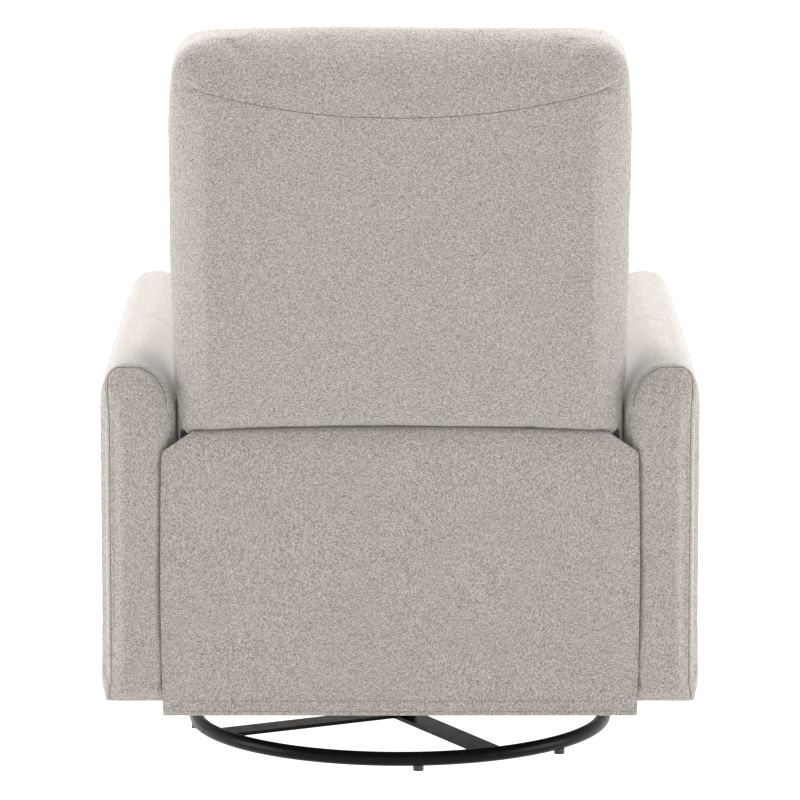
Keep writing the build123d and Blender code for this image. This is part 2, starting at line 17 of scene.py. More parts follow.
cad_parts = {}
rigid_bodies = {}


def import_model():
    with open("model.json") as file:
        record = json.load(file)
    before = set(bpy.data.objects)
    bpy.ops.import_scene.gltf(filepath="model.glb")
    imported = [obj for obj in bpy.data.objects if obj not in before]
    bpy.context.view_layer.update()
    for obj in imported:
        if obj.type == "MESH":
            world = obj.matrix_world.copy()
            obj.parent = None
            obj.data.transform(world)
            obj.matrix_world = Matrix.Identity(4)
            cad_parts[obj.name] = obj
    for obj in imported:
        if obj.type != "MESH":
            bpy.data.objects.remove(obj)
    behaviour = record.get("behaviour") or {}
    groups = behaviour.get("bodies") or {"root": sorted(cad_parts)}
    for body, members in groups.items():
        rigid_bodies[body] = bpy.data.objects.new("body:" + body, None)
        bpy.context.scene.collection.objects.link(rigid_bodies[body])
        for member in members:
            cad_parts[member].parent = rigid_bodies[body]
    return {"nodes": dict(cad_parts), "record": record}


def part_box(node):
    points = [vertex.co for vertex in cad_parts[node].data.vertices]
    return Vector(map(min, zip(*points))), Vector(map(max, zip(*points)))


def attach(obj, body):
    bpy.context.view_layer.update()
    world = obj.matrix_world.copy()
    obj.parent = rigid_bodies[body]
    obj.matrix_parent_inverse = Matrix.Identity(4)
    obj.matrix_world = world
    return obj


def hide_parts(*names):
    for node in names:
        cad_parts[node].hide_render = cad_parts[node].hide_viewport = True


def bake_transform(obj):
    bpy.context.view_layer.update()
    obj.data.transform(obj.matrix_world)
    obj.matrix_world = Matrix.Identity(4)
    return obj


for extra in list(bpy.data.objects):
    bpy.data.objects.remove(extra)
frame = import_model()
bpy.context.view_layer.update()
MM = 0.001


def node_box(name):
    """A CAD node's lowest and highest corner as vectors."""
    low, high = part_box(name)
    return Vector(low), Vector(high)


# %% [markdown]
# ## Shader sums as Python sums
# Node graphs are easier to read as expressions. `Wire` wraps one socket, and its
# operators add Math nodes; `Finish` wraps a material and adds any other node.


# %% Wire and Finish
class Wire:
    """A shader socket that takes part in Python arithmetic."""

    def __init__(self, finish, socket):
        self.finish = finish
        self.socket = socket

    def math(self, operation, first, second=0.0):
        return self.finish.node("Math", {"operation": operation}, {0: first, 1: second})

    def __add__(self, other):
        return self.math("ADD", self, other)

    def __sub__(self, other):
        return self.math("SUBTRACT", self, other)

    def __mul__(self, other):
        return self.math("MULTIPLY", self, other)

    def __rsub__(self, other):
        return self.math("SUBTRACT", other, self)

    __radd__ = __add__
    __rmul__ = __mul__

    def clamped(self):
        return self.finish.node("Clamp", {}, {"Value": self})

    def spread(self, low, high, to_low=0.0, to_high=1.0):
        """Stretch the part of the range from low to high to a new one."""
        limits = {"Value": self, "From Min": low, "From Max": high, "To Min": to_low, "To Max": to_high}
        return self.finish.node("MapRange", {"clamp": True}, limits)

    def sine(self):
        return self.math("SINE", self)

    def size(self):
        return self.math("ABSOLUTE", self)


class Finish:
    """A material whose nodes are added by expressions."""

    def __init__(self, name):
        self.material = bpy.data.materials.new(name)
        self.material.use_nodes = True
        self.tree = self.material.node_tree
        self.shader = self.tree.nodes["Principled BSDF"]

    def node(self, kind, settings, values, output=0):
        """Add a node: its settings first, then its sockets' values or links."""
        made = self.tree.nodes.new("ShaderNode" + kind)
        for name, value in settings.items():
            setattr(made, name, value)
        for key, value in values.items():
            self.join(made.inputs[key], value)
        return Wire(self, made.outputs[output])

    def join(self, socket, value):
        if isinstance(value, Wire):
            self.tree.links.new(value.socket, socket)
        elif hasattr(value, "__len__") and len(value) == 3 and socket.type == "RGBA":
            socket.default_value = (*value, 1.0)
        else:
            socket.default_value = value

    def place(self):
        """Object coordinates, in metres."""
        return self.node("TexCoord", {}, {}, "Object")

    def facing(self):
        """The surface's own normal in object space."""
        return self.node("TexCoord", {}, {}, "Normal")

    def split(self, vector):
        """A vector's three parts."""
        made = self.tree.nodes.new("ShaderNodeSeparateXYZ")
        self.join(made.inputs[0], vector)
        return [Wire(self, made.outputs[axis]) for axis in "XYZ"]

    def stretched(self, point, scale):
        return self.node("Mapping", {}, {"Vector": point, "Scale": scale})

    def grain(self, point, scale, detail=2.0, roughness=0.5):
        values = {"Vector": point, "Scale": scale, "Detail": detail, "Roughness": roughness}
        return self.node("TexNoise", {}, values)

    def mix(self, factor, first, second):
        values = {"Factor": factor, 6: first, 7: second}
        return self.node("Mix", {"data_type": "RGBA"}, values, 2)

    def bump(self, height, distance, strength=1.0):
        values = {"Height": height, "Distance": distance, "Strength": strength}
        self.join(self.shader.inputs["Normal"], self.node("Bump", {}, values))

    def set(self, **values):
        """Set the shader's sockets: colour, roughness and the rest, by their names."""
        for name, value in values.items():
            self.join(self.shader.inputs[name.replace("_", " ")], value)
        return self


# %% [markdown]
# ## The cover fabric
# The cover is a heathered basket weave: yarns of slightly different beige and grey
# cross each other, so that it looks speckled close up and an even greige far off. A weave
# needs a direction on every side of a cushion, so three flat weaves are worked out, one
# for each axis, and the surface's normal picks between them. That keeps thread size
# equal on the arms, back and seat, with no unwrapping.


# %% Weave
YARN = 1.5 * MM


def plain_weave(across, along):
    """Height of a basket weave in one plane, from 0 to 1, for two coordinates in metres."""
    turn = math.pi / YARN
    warp = (across * turn).sine().size()
    weft = (along * turn).sine().size()
    over = ((across * (turn / 2)).sine() * (along * (turn / 2)).sine()).spread(-0.1, 0.1)
    return over * warp + (1.0 - over) * weft


def heathered_weave(name, light, dark, contrast=1.0):
    """A woven cover in two yarn colours, with sheen and a soft nap."""
    finish = Finish(name)
    point = finish.place()
    x, y, z = finish.split(point)
    by_x, by_y, by_z = finish.split(finish.facing())
    height = (
        plain_weave(y, z) * (by_x * by_x)
        + plain_weave(x, z) * (by_y * by_y)
        + plain_weave(x, y) * (by_z * by_z)
    )
    warp_slub = finish.grain(finish.stretched(point, (1150.0, 1150.0, 330.0)), 1.0, 1.0)
    weft_slub = finish.grain(finish.stretched(point, (330.0, 800.0, 1150.0)), 1.0, 1.0)
    fleck = finish.grain(point, 880.0, 2.0, 0.6)
    cloud = finish.grain(point, 24.0, 2.0)
    tone = (
        warp_slub.spread(0.3, 0.7) * 0.28
        + weft_slub.spread(0.3, 0.7) * 0.28
        + fleck.spread(0.28, 0.72) * 0.44
    )
    # The weave's height also sets its colour: painted shade in the hollows between the yarns and painted
    # light on their crests.
    tone = ((tone - 0.5) * contrast + 0.5 + (cloud - 0.5) * 0.08 + height * 0.12 - 0.06).clamped()
    finish.set(Base_Color=finish.mix(tone, dark, light), Roughness=0.88)
    finish.set(Sheen_Weight=0.25, Sheen_Roughness=0.45, Specular_IOR_Level=0.2)
    finish.bump(height * 0.6 + fleck * 0.5, 0.5 * MM, 0.55)
    return finish.material


LIGHT_YARN = (0.36, 0.335, 0.303)
DARK_YARN = (0.092, 0.085, 0.075)
cover_cloth = heathered_weave("greige_heather_weave", LIGHT_YARN, DARK_YARN, 2.0)
# The seam folds are a darker copy of the cover weave: painted shade of the creases they lie in.
seam_shade_cloth = heathered_weave("seam_fold_painted_shade", (0.16, 0.148, 0.13), (0.07, 0.065, 0.057), 0.8)
thread_cloth = heathered_weave("stitch_thread", (0.2, 0.185, 0.165), (0.1, 0.093, 0.082), 0.7)
print("cloths", [m.name for m in (cover_cloth, seam_shade_cloth, thread_cloth)])

# %% [markdown]
# ## Metal, wood and plastic
# The ring and crossbars are powder coated in gloss black: the coat flows a little, so it
# has a faint orange peel. The hidden mechanism is satin black steel, the bolts
# are zinc plated, and the frame rails are raw plywood with its plies on the edges.


# %% Hard finishes
def powder_coat(name, colour, roughness, peel, shine, coat=0.0):
    """A flowed coat of paint with orange peel, dust and slight scuffs."""
    finish = Finish(name)
    point = finish.place()
    peel_height = finish.grain(point, 420.0, 1.0)
    dust = finish.grain(point, 55.0, 4.0, 0.65).spread(0.45, 0.75)
    finish.set(
        Base_Color=finish.mix(dust * 0.35, colour, tuple(c * 1.9 + 0.004 for c in colour)),
        Roughness=dust * 0.12 + roughness,
        Coat_Weight=coat,
        Coat_Roughness=0.12,
        Specular_IOR_Level=shine,
    )
    finish.bump(peel_height, peel, 0.5)
    return finish.material


def bare_metal(name, colour, roughness, brushed):
    """Plated or drawn steel, with fine marks along one axis."""
    finish = Finish(name)
    point = finish.place()
    marks = finish.grain(finish.stretched(point, brushed), 1.0, 3.0)
    stain = finish.grain(point, 35.0, 3.0)
    finish.set(
        Base_Color=finish.mix(stain, tuple(c * 0.8 for c in colour), colour),
        Metallic=1.0,
        Roughness=marks * 0.2 + roughness,
    )
    finish.bump(marks, 0.05 * MM, 0.4)
    return finish.material


def raw_plywood():
    """Birch ply: long grain on the faces and thin plies on the edges."""
    finish = Finish("birch_plywood")
    point = finish.place()
    grain = finish.grain(finish.stretched(point, (60.0, 4.0, 45.0)), 1.0, 5.0, 0.62)
    pores = finish.grain(finish.stretched(point, (900.0, 60.0, 900.0)), 1.0, 2.0)
    tone = (grain.spread(0.3, 0.7) * 0.75 + pores * 0.25).clamped()
    colour = finish.mix(tone, (0.33, 0.2, 0.1), (0.66, 0.49, 0.3))
    finish.set(Base_Color=colour, Roughness=pores * 0.2 + 0.55)
    finish.bump(pores, 0.15 * MM, 0.4)
    return finish.material


def moulded_plastic(name, colour):
    """Injection moulded plastic with a fine spark-eroded grain."""
    finish = Finish(name)
    point = finish.place()
    pits = finish.grain(point, 900.0, 2.0)
    wear = finish.grain(point, 70.0, 3.0).spread(0.4, 0.7)
    finish.set(
        Base_Color=finish.mix(wear, colour, tuple(c * 1.3 + 0.01 for c in colour)),
        Roughness=wear * 0.15 + 0.45,
    )
    finish.bump(pits, 0.1 * MM, 0.35)
    return finish.material


def webbing():
    """Ribbed black webbing: the ribs run across the loop."""
    finish = Finish("ribbed_webbing")
    _, y, z = finish.split(finish.place())
    ribs = (z * (math.pi / (1.4 * MM))).sine().size()
    yarns = (y * (math.pi / (0.9 * MM))).sine().size()
    height = ribs * 0.7 + yarns * 0.3
    # The colour follows the ribs' height: painted shade in the grooves between the ribs and painted light
    # on their tops.
    finish.set(Base_Color=finish.mix(height, (0.012, 0.012, 0.013), (0.06, 0.06, 0.063)), Roughness=0.8)
    finish.bump(height, 0.4 * MM, 0.8)
    return finish.material


finishes = {
    "upholstery": cover_cloth,
    "webbing": webbing(),
    "black_enamel": powder_coat("gloss_black_powder_coat", (0.004, 0.004, 0.0045), 0.3, 0.06 * MM, 0.08),
    "mechanism_black": powder_coat("satin_black_steel", (0.014, 0.014, 0.015), 0.42, 0.08 * MM, 0.3),
    "zinc_steel": bare_metal("zinc_plated_steel", (0.62, 0.61, 0.58), 0.3, (200.0, 700.0, 700.0)),
    "polished_steel": bare_metal("polished_ball_steel", (0.72, 0.72, 0.73), 0.08, (300.0, 300.0, 300.0)),
    "spring_steel": bare_metal("tempered_spring_wire", (0.16, 0.15, 0.15), 0.35, (500.0, 90.0, 500.0)),
    "plywood": raw_plywood(),
    "black_plastic": moulded_plastic("black_glide_plastic", (0.015, 0.015, 0.016)),
    "white_plastic": moulded_plastic("acetal_race_plastic", (0.7, 0.69, 0.66)),
}
slot_of = {row["node"]: row["material_slot"] for row in frame["record"]["subparts"]}
for name, made in frame["nodes"].items():
    made.data.materials.clear()
    made.data.materials.append(finishes[slot_of[name]])
print("finishes on", len(frame["nodes"]), "frame parts")

# %% [markdown]
# ## Helpers for padded pieces
# A pad starts as a simple block. It is remeshed into even squares, blown up a little as
# cloth, and then the sewing is pressed in: every point near a seam line moves inwards, and
# a thin fold of cloth is laid in the groove. Even squares matter, because
# cloth that is uneven to start with wrinkles along its grid.


# %% Mesh helpers
def piece_from(bm, name, material):
    """Turn a bmesh into an object at the origin, smooth, with its normals outwards."""
    bmesh.ops.recalc_face_normals(bm, faces=bm.faces)
    for face in bm.faces:
        face.smooth = True
    mesh = bpy.data.meshes.new(name)
    bm.to_mesh(mesh)
    bm.free()
    mesh.materials.append(material)
    made = bpy.data.objects.new(name, mesh)
    bpy.context.collection.objects.link(made)
    return made


def apply_modifiers(made):
    """Replace an object's mesh with the one its modifiers give."""
    graph = bpy.context.evaluated_depsgraph_get()
    mesh = bpy.data.meshes.new_from_object(made.evaluated_get(graph))
    made.modifiers.clear()
    old = made.data
    made.data = mesh
    bpy.data.meshes.remove(old)


def with_modifier(made, kind, **settings):
    modifier = made.modifiers.new(kind.lower(), kind)
    for name, value in settings.items():
        setattr(modifier, name, value)
    apply_modifiers(made)


def smooth_all(made):
    made.data.polygons.foreach_set("use_smooth", [True] * len(made.data.polygons))


def block(low, high):
    """A bmesh box between two corners."""
    bm = bmesh.new()
    bmesh.ops.create_cube(bm, size=1.0)
    size = Vector(high) - Vector(low)
    bmesh.ops.scale(bm, vec=size, verts=bm.verts)
    bmesh.ops.translate(bm, vec=(Vector(high) + Vector(low)) / 2, verts=bm.verts)
    return bm


def rounded(bm, edges, offset, segments=4):
    bmesh.ops.bevel(
        bm, geom=edges, offset=offset, segments=segments, profile=0.5, affect="EDGES", material=-1
    )


def cloth_swell(made, pressure, most, hold=None, frames=16):
    """Blow a closed mesh up as cloth. No point moves further than most, and hold pins by place."""
    rest = [v.co.copy() for v in made.data.vertices]
    cloth = made.modifiers.new("swell", "CLOTH")
    cloth.settings.use_pressure = True
    cloth.settings.uniform_pressure_force = pressure
    cloth.settings.effector_weights.gravity = 0.0
    cloth.settings.quality = 4
    cloth.settings.mass = 0.3
    cloth.settings.tension_stiffness = 25.0
    cloth.settings.compression_stiffness = 25.0
    cloth.settings.bending_stiffness = 1.5
    cloth.collision_settings.use_collision = False
    cloth.point_cache.frame_end = frames
    if hold:
        group = made.vertex_groups.new(name="pins")
        for vertex in made.data.vertices:
            weight = hold(vertex.co)
            if weight > 0:
                group.add([vertex.index], weight, "REPLACE")
        cloth.settings.vertex_group_mass = "pins"
    for step in range(1, frames + 1):
        bpy.context.scene.frame_set(step)
    apply_modifiers(made)
    bpy.context.scene.frame_set(1)
    made.vertex_groups.clear()
    for vertex, start in zip(made.data.vertices, rest):
        moved = vertex.co - start
        if moved.length > most:
            vertex.co = start + moved.normalized() * most
    print(made.name, "swelled,", len(made.data.vertices), "points")


def soften(made, broad, fine, seed):
    """Move points along their normals by two scales of noise, as hand-filled padding does."""
    shift = Vector((seed * 3.7, seed * 1.3, seed * 2.1))
    normals = [v.normal.copy() for v in made.data.vertices]
    for vertex, normal in zip(made.data.vertices, normals):
        big = noise.noise((vertex.co + shift) * 7.0)
        small = noise.noise((vertex.co + shift) * 38.0)
        vertex.co += normal * (big * broad + small * fine)


# %% [markdown]
# ## Seams
# A seam is where two panels are sewn together and turned: the cloth dips towards it on both
# sides, and a fold shows at the bottom, in a darker cloth that is painted shade of the crease.
# The points of each seam are laid on the pad by finding the nearest place on its surface, so a
# seam follows whatever shape the padding took.


# %% Seam helpers
def walk(points, step, closed=False):
    """Evenly spaced points along a run of straight lines."""
    points = [Vector(p) for p in points]
    if closed:
        points.append(points[0])
    spaced = [points[0]]
    left = step
    for start, end in zip(points, points[1:]):
        run = end - start
        gone = left
        while gone < run.length:
            spaced.append(start + run.normalized() * gone)
            gone += step
        left = gone - run.length
    return spaced


def curve_points(points, step, closed=False):
    """A smooth line through a few points, read back evenly spaced."""
    points = [Vector(p) for p in points]
    count = len(points)
    smooth = []
    last = count if closed else count - 1
    for index in range(last):
        before = points[(index - 1) % count] if closed or index else points[0]
        start = points[index]
        end = points[(index + 1) % count]
        after = points[(index + 2) % count] if closed or index + 2 < count else points[-1]
        for part in range(12):
            t = part / 12
            smooth.append(
                0.5
                * (
                    2 * start
                    + (end - before) * t
                    + (2 * before - 5 * start + 4 * end - after) * t * t
                    + (3 * start - before - 3 * end + after) * t * t * t
                )
            )
    if not closed:
        smooth.append(points[-1])
    return walk(smooth, step, closed)


def rounded_loop(half, low, high, corner, blunt, place):
    """A closed seam with cut corners: place turns a spot across and along into a point."""
    path = [
        (-half, low + corner), (-half + blunt, low + blunt), (-half + corner, low),
        (half - corner, low), (half - blunt, low + blunt), (half, low + corner),
        (half, high - corner), (half - blunt, high - blunt), (half - corner, high),
        (-half + corner, high), (-half + blunt, high - blunt), (-half, high - corner),
    ]
    return curve_points([place(across, along) for across, along in path], 3.0 * MM, closed=True)


def surface_of(made):
    mesh = made.data
    return BVHTree.FromPolygons([v.co for v in mesh.vertices], [p.vertices[:] for p in mesh.polygons])


def press_seams(made, lines, width, depth):
    """Push the points near each line inwards, deepest on the line."""
    total = sum(len(line) for line in lines)
    tree = kdtree.KDTree(total)
    index = 0
    for line in lines:
        for point in line:
            tree.insert(point, index)
            index += 1
    tree.balance()
    normals = [v.normal.copy() for v in made.data.vertices]
    for vertex, normal in zip(made.data.vertices, normals):
        _, _, distance = tree.find(vertex.co)
        if distance < 3 * width:
            vertex.co -= normal * depth * math.exp(-((distance / width) ** 2))


def seam_cord(name, lines, radius, sunk, target, material, closed=False):
    """Lay a thin fold of cloth along lines on a target's surface, sunk into it."""
    tree = surface_of(target)
    curve = bpy.data.curves.new(name, "CURVE")
    curve.dimensions = "3D"
    curve.bevel_depth = radius
    curve.bevel_resolution = 2
    curve.use_fill_caps = True
    for line in lines:
        spline = curve.splines.new("POLY")
        spline.points.add(len(line) - 1)
        spline.use_cyclic_u = closed
        for spot, point in zip(spline.points, line):
            found, normal, _, _ = tree.find_nearest(point)
            spot.co = (*(found - normal * sunk), 1.0)
    made = bpy.data.objects.new(name, curve)
    bpy.context.collection.objects.link(made)
    graph = bpy.context.evaluated_depsgraph_get()
    mesh = bpy.data.meshes.new_from_object(made.evaluated_get(graph))
    bpy.data.objects.remove(made)
    mesh.materials.clear()
    mesh.materials.append(material)
    laid = bpy.data.objects.new(name, mesh)
    bpy.context.collection.objects.link(laid)
    smooth_all(laid)
    return laid


def stitches(name, line, target, long=3.8 * MM, gap=1.4 * MM, radius=0.7 * MM):
    """Sew a row of stitches along a line: each is a short thread, half sunk in the cloth."""
    tree = surface_of(target)
    bm = bmesh.new()
    spots = walk(line, long + gap)
    for start, after in zip(spots, spots[1:]):
        along = (after - start).normalized()
        centre = start + along * (long / 2)
        found, normal, _, _ = tree.find_nearest(centre)
        across = along.cross(normal).normalized()
        turn = Matrix((along, across, normal)).transposed().to_4x4()
        place = Matrix.Translation(found + normal * radius * 0.2) @ turn
        size = Matrix.Diagonal((long / 2, radius, radius, 1.0))
        bmesh.ops.create_icosphere(bm, subdivisions=1, radius=1.0, matrix=place @ size)
    return piece_from(bm, name, thread_cloth)


def mirrored(made, name):
    """The same piece on the other side, with its faces turned to point outwards."""
    mesh = made.data.copy()
    mesh.transform(Matrix.Scale(-1.0, 4, (1.0, 0.0, 0.0)))
    mesh.flip_normals()
    twin = bpy.data.objects.new(name, mesh)
    bpy.context.collection.objects.link(twin)
    return twin


def fasten(made, body, stands_for=()):
    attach(made, body)
    if stands_for:
        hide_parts(*stands_for)
    return made


# %% [markdown]
# ## Arms
# Each arm is a plywood panel wrapped in foam. One long panel of cloth goes up the outside,
# over the top and down the inside; flat panels close the front and the rear. The top
# rolls over towards the sitter and turns sharply on the outside, so its section is drawn
# with a few points and pushed along the arm.

# %% Arm sizes
arm_low, arm_high = node_box("arm_pad_left")
ARM_EDGE_R = 7.0 * MM
ARM_DROP = 60.0 * MM
ARM_OUTER_R = 28.0 * MM
ARM_CREST = arm_low.x + 50.5 * MM
COVER_IN = 1.5 * MM
print("arm", [round(v, 3) for v in arm_low], [round(v, 3) for v in arm_high])


def arm_section(inset, outer_r):
    """The arm's outline in X and Z, pulled in by inset, from the inner foot round to the outer foot."""
    inner = arm_low.x + inset
    outer = arm_high.x - inset
    top = arm_high.z - inset
    foot = arm_low.z + inset
    points = [(inner, foot), (inner, arm_high.z - ARM_DROP)]
    for step in range(1, 8):
        angle = math.pi - step * math.pi / 16
        points.append(
            (
                ARM_CREST + (ARM_CREST - inner) * math.cos(angle),
                arm_high.z - ARM_DROP + (ARM_DROP - inset) * math.sin(angle),
            )
        )
    points.append((ARM_CREST, top))
    for step in range(5):
        angle = math.pi / 2 - step * math.pi / 8
        x = outer - outer_r + outer_r * math.cos(angle)
        points.append((x, top - outer_r + outer_r * math.sin(angle)))
    points.append((outer, foot))
    return points


# %% Arm pad
def make_arm():
    """The left arm's pad, as one closed skin."""
    bm = bmesh.new()
    section = [bm.verts.new((x, arm_high.y, z)) for x, z in arm_section(COVER_IN, ARM_OUTER_R)]
    face = bm.faces.new(section)
    pushed = bmesh.ops.extrude_face_region(bm, geom=[face])
    moving = [item for item in pushed["geom"] if isinstance(item, bmesh.types.BMVert)]
    bmesh.ops.translate(bm, vec=(0.0, arm_low.y - arm_high.y, 0.0), verts=moving)
    ends = [edge for edge in bm.edges if abs(edge.verts[0].co.y - edge.verts[1].co.y) < MM]
    rounded(bm, ends, ARM_EDGE_R, 3)
    made = piece_from(bm, "arm_cover_left", cover_cloth)
    with_modifier(made, "REMESH", mode="VOXEL", voxel_size=5.0 * MM)
    cloth_swell(made, 2.2, 5.0 * MM, hold=lambda co: 0.9 if co.z < arm_low.z + 0.01 else 0.0)
    return made


arm = make_arm()

# %% [markdown]
# The rear and front panels are sewn to the long panel along the arm's outline. The seam
# runs just inside the corner, so that the corner itself stays soft, and its turned edge is
# the thin line that outlines each panel, in a darker cloth that is painted shade of the
# crease. It fades out low on the inner side.

# %% Arm seams
SEAM_IN = 6.0 * MM
SEAM_CORNER_R = 12.0 * MM


def arm_seam(y):
    """The seam of an end panel: from the inner roll over the top and down the outside."""
    points = [Vector((x, y, z)) for x, z in arm_section(SEAM_IN, SEAM_CORNER_R)[1:]]
    points[-1].z = arm_low.z + 3.0 * MM
    return walk(points, 2.5 * MM)


arm_seams = [arm_seam(arm_high.y), arm_seam(arm_low.y)]
press_seams(arm, arm_seams, 3.2 * MM, 2.2 * MM)
soften(arm, 1.3 * MM, 0.35 * MM, 1)
arm_folds = seam_cord("arm_seams_left", arm_seams, 0.8 * MM, 0.25 * MM, arm, seam_shade_cloth)
arm_twin = mirrored(arm, "arm_cover_right")
folds_twin = mirrored(arm_folds, "arm_seams_right")
for side, cover, folds in (("left", arm, arm_folds), ("right", arm_twin, folds_twin)):
    fasten(cover, "seat", stands_for=[f"arm_pad_{side}"])
    fasten(folds, "seat")

# %% [markdown]
# ## Back, rear side
# The outside of the back is one large panel, with a second panel that comes over the top
# and is sewn to it in a low smile. Its sides bulge softly and its lower corners are tucked in
# towards the seam with the flap. The panel is worked on flat, in a plane that
# leans with the back, so helpers turn places on the back into places in the room.

# %% The back's own directions
LEAN = math.radians(11.0)
back_up = Vector((0.0, math.sin(LEAN), math.cos(LEAN)))
back_out = Vector((0.0, math.cos(LEAN), -math.sin(LEAN)))
seam_spot = Vector((0.0, 0.385, 0.478))
SHELL = 78.0 * MM
BACK_DEPTH = 170.0 * MM
SHELL_HIGH = 528.0 * MM
CUSHION_HIGH = 500.0 * MM
CROWN = 3.0 * MM
TAPER_UP = 0.125
back_axes = Matrix((Vector((1, 0, 0)), back_up, back_out)).transposed()
back_turn = Matrix.Translation(seam_spot) @ back_axes.to_4x4()


def on_back(across, up, out):
    """A place on the back: metres across, up from the rear seam, and out from the rear face."""
    return seam_spot + Vector((across, 0, 0)) + back_up * up + back_out * out


def back_shape(half, low_half, low, high, top_corner, low_corner):
    """A bmesh face in the back's plane with rounded corners and a crowned top."""
    bm = bmesh.new()
    outline = [(-low_half, low), (-half, TAPER_UP), (-half, high - CROWN)]
    for step in range(1, 8):
        x = -half + step * half / 4
        outline.append((x, high - CROWN * (x / half) ** 2))
    outline += [(half, high - CROWN), (half, TAPER_UP), (low_half, low)]
    corners = [bm.verts.new((x, up, 0.0)) for x, up in outline]
    bm.faces.new(corners)
    low_corners = [corners[0], corners[-1]]
    top_corners = [corners[2], corners[-3]]
    bmesh.ops.bevel(
        bm, geom=low_corners, offset=low_corner, segments=4, profile=0.5, affect="VERTICES", material=-1
    )
    bmesh.ops.bevel(
        bm, geom=top_corners, offset=top_corner, segments=7, profile=0.5, affect="VERTICES", material=-1
    )
    return bm


def pushed_out(bm, low_out, high_out):
    """Give a flat outline thickness, from one distance off the rear face to another."""
    bmesh.ops.translate(bm, vec=(0, 0, low_out), verts=bm.verts)
    pushed = bmesh.ops.extrude_face_region(bm, geom=list(bm.faces))
    moving = [item for item in pushed["geom"] if isinstance(item, bmesh.types.BMVert)]
    bmesh.ops.translate(bm, vec=(0, 0, high_out - low_out), verts=moving)


def rim(bm, out):
    """The edges round the face that lies at one distance from the rear face."""
    return [edge for edge in bm.edges if all(abs(v.co.z - out) < 1e-5 for v in edge.verts)]


# %% Rear panel
REAR_FACE = -3.0 * MM
HEM_UP = 6.0 * MM


def make_back_shell():
    """The outside of the back, from its rear face to the seam with the inside cushion."""
    bm = back_shape(0.2895, 0.2815, -16.0 * MM, SHELL_HIGH - 9.0 * MM, 44.0 * MM, 20.0 * MM)
    pushed_out(bm, -SHELL, REAR_FACE)
    face_rim = rim(bm, REAR_FACE)
    hem_rim = [edge for edge in face_rim if all(v.co.y < HEM_UP for v in edge.verts)]
    rounded(bm, [edge for edge in face_rim if edge not in hem_rim], 22.0 * MM, 6)
    bmesh.ops.transform(bm, matrix=back_turn, verts=bm.verts)
    made = piece_from(bm, "back_outside", cover_cloth)
    with_modifier(made, "REMESH", mode="VOXEL", voxel_size=5.0 * MM)
    cloth_swell(made, 2.6, 11.0 * MM)
    return made


back_outside = make_back_shell()
SMILE_END = 458.0 * MM
SMILE_LOW = 421.0 * MM
SMILE_HALF = 0.264


def smile_height(across):
    """How far up the back the smile seam is: it rises with the square of the distance."""
    return SMILE_LOW + (SMILE_END - SMILE_LOW) * (across / SMILE_HALF) ** 2


smile_places = [step * SMILE_HALF / 12 for step in range(-12, 13)]
smile = [on_back(across, smile_height(across), 0.0) for across in smile_places]
smile_line = curve_points(smile, 2.5 * MM)
press_seams(back_outside, [smile_line], 4.5 * MM, 2.6 * MM)
soften(back_outside, 1.8 * MM, 0.4 * MM, 2)
back_folds = seam_cord("back_smile_seam", [smile_line], 0.65 * MM, 0.2 * MM, back_outside, seam_shade_cloth)
fasten(back_outside, "back", stands_for=["back_shell"])
fasten(back_folds, "back")

# %% [markdown]
# ## Back, inside
# The sitter's side is a thicker cushion in two sewn sections: a headrest roll over a
# long lumbar section, with a channel between them. It is swelled as cloth too, with more
# pressure, because it is loose fill and not a stretched panel.


# %% Inside cushion
CHANNEL_UP = 318.0 * MM
CHANNEL_HALF = 0.272
CUSHION_FACE = 8.0 * MM - BACK_DEPTH


def make_back_cushion():
    bm = back_shape(0.2855, 0.2785, -22.0 * MM, CUSHION_HIGH - 4.0 * MM, 50.0 * MM, 26.0 * MM)
    pushed_out(bm, CUSHION_FACE, -SHELL - 1.0 * MM)
    rounded(bm, rim(bm, CUSHION_FACE), 32.0 * MM, 6)
    bmesh.ops.transform(bm, matrix=back_turn, verts=bm.verts)
    made = piece_from(bm, "back_cushion_cover", cover_cloth)
    with_modifier(made, "REMESH", mode="VOXEL", voxel_size=5.5 * MM)
    cloth_swell(made, 3.6, 16.0 * MM)
    return made


back_inside = make_back_cushion()
channel_ends = [on_back(side * CHANNEL_HALF, CHANNEL_UP, -BACK_DEPTH) for side in (-1.0, 1.0)]
channel = walk(channel_ends, 3.0 * MM)
press_seams(back_inside, [channel], 15.0 * MM, 11.0 * MM)
soften(back_inside, 2.2 * MM, 0.5 * MM, 3)
fasten(back_inside, "back", stands_for=["back_cushion"])

# %% [markdown]
# ## Seat cushion
# A box cushion: a top and a bottom panel joined by a band round the sides, with piped
# seams. Its front edge, which a sitter's knees press, is rounded as much as the rear one.


# %% Seat cushion cover
seat_low, seat_high = node_box("seat_cushion")


def make_seat_cushion():
    bm = block(seat_low + Vector((1.5, 5.0, 2.0)) * MM, seat_high - Vector((1.5, 4.0, 8.0)) * MM)
    upright = [e for e in bm.edges if abs(e.verts[0].co.z - e.verts[1].co.z) > 0.05]
    rounded(bm, upright, 24.0 * MM, 5)
    flat_rims = [e for e in bm.edges if abs(e.verts[0].co.z - e.verts[1].co.z) < MM]
    level = [e for e in flat_rims if sum(abs(face.normal.z) for face in e.link_faces) > 0.5]
    bm.normal_update()
    rounded(bm, level, 16.0 * MM, 4)
    made = piece_from(bm, "seat_cushion_cover", cover_cloth)
    with_modifier(made, "REMESH", mode="VOXEL", voxel_size=6.0 * MM)
    cloth_swell(made, 3.8, 20.0 * MM, hold=lambda co: 1.0 if co.z < seat_low.z + 0.012 else 0.0)
    return made


seat = make_seat_cushion()


def seat_loop(z, inset):
    """A seam round the cushion at one height, a little in from its corners."""
    front = seat_low.y + inset
    rear = seat_high.y - inset
    return rounded_loop(seat_high.x - inset, front, rear, 0.03, 0.009, lambda x, y: (x, y, z))


